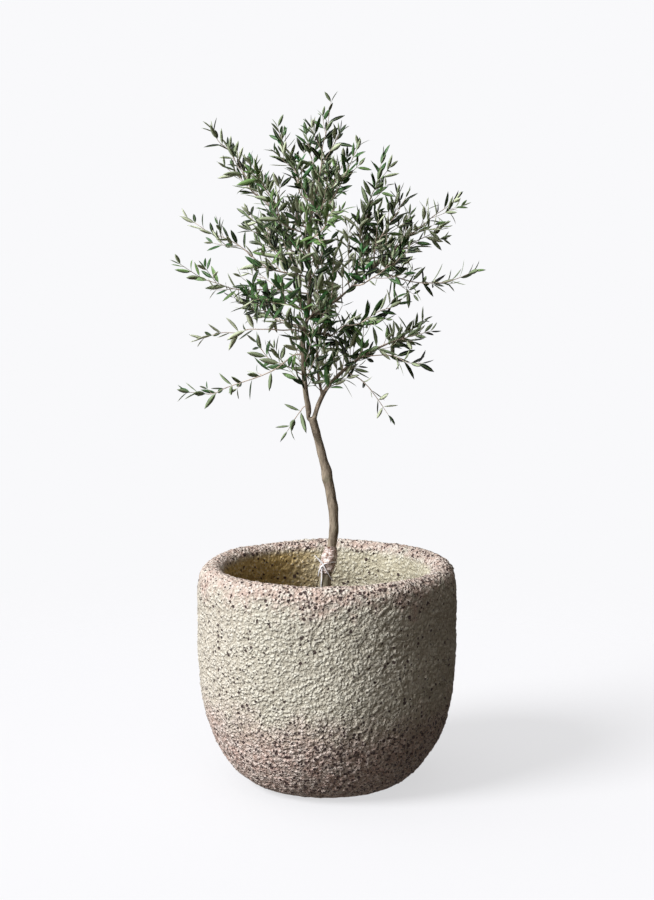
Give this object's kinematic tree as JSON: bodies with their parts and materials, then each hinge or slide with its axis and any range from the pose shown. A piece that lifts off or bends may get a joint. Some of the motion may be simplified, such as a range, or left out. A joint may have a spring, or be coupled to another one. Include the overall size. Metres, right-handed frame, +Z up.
{
  "type": "potted olive tree",
  "caption": "Young olive tree with a slim leaning trunk, a low fork and an open, airy crown, standing in a heavy rounded pot of coarse pitted stoneware.",
  "frame": {"origin": "centre of the pot's flat underside, where the plant stands on the floor", "axes": "+Z up the tree, +X to the right and -Y towards a viewer in front, whose left side the fork leans to"},
  "size_m": [0.5123, 0.44, 1.169],
  "materials": {
    "stoneware": "matte",
    "potting_soil": "matte",
    "bark": "matte",
    "graft_tape": "satin",
    "foliage": "satin"
  },
  "bodies": {
    "root": {"pot": "stoneware", "soil": "potting_soil", "trunk": "bark", "graft_tape": "graft_tape", "inner_crown_low": "foliage", "inner_crown_high": "foliage", "inner_crown_left": "foliage", "inner_crown_right": "foliage", "inner_crown_foot": "foliage", "top_spray": "foliage", "top_left_spray": "foliage", "upper_left_spray": "foliage", "left_crest_spray": "foliage", "left_shoulder_spray": "foliage", "left_arm_spray": "foliage", "left_mid_spray": "foliage", "left_hang_spray": "foliage", "left_low_spray": "foliage", "left_foot_spray": "foliage", "low_sprig": "foliage", "upright_spray": "foliage", "right_crest_spray": "foliage", "right_upper_spray": "foliage", "right_shoulder_spray": "foliage", "right_high_spray": "foliage", "right_arm_spray": "foliage", "right_mid_spray": "foliage", "right_low_spray": "foliage", "right_outer_spray": "foliage", "right_droop_spray": "foliage", "front_top_spray": "foliage", "front_left_spray": "foliage", "front_right_spray": "foliage", "back_top_spray": "foliage", "back_high_left_spray": "foliage", "back_high_right_spray": "foliage", "back_low_spray": "foliage", "back_left_spray": "foliage", "back_right_spray": "foliage", "leader_bough": "bark", "right_bough": "bark", "inner_bough": "bark", "high_bough": "bark", "left_mid_stem": "bark", "left_hang_stem": "bark", "left_low_stem": "bark", "left_foot_stem": "bark", "low_stem": "bark", "right_droop_stem": "bark"}
  },
  "joints": []
}
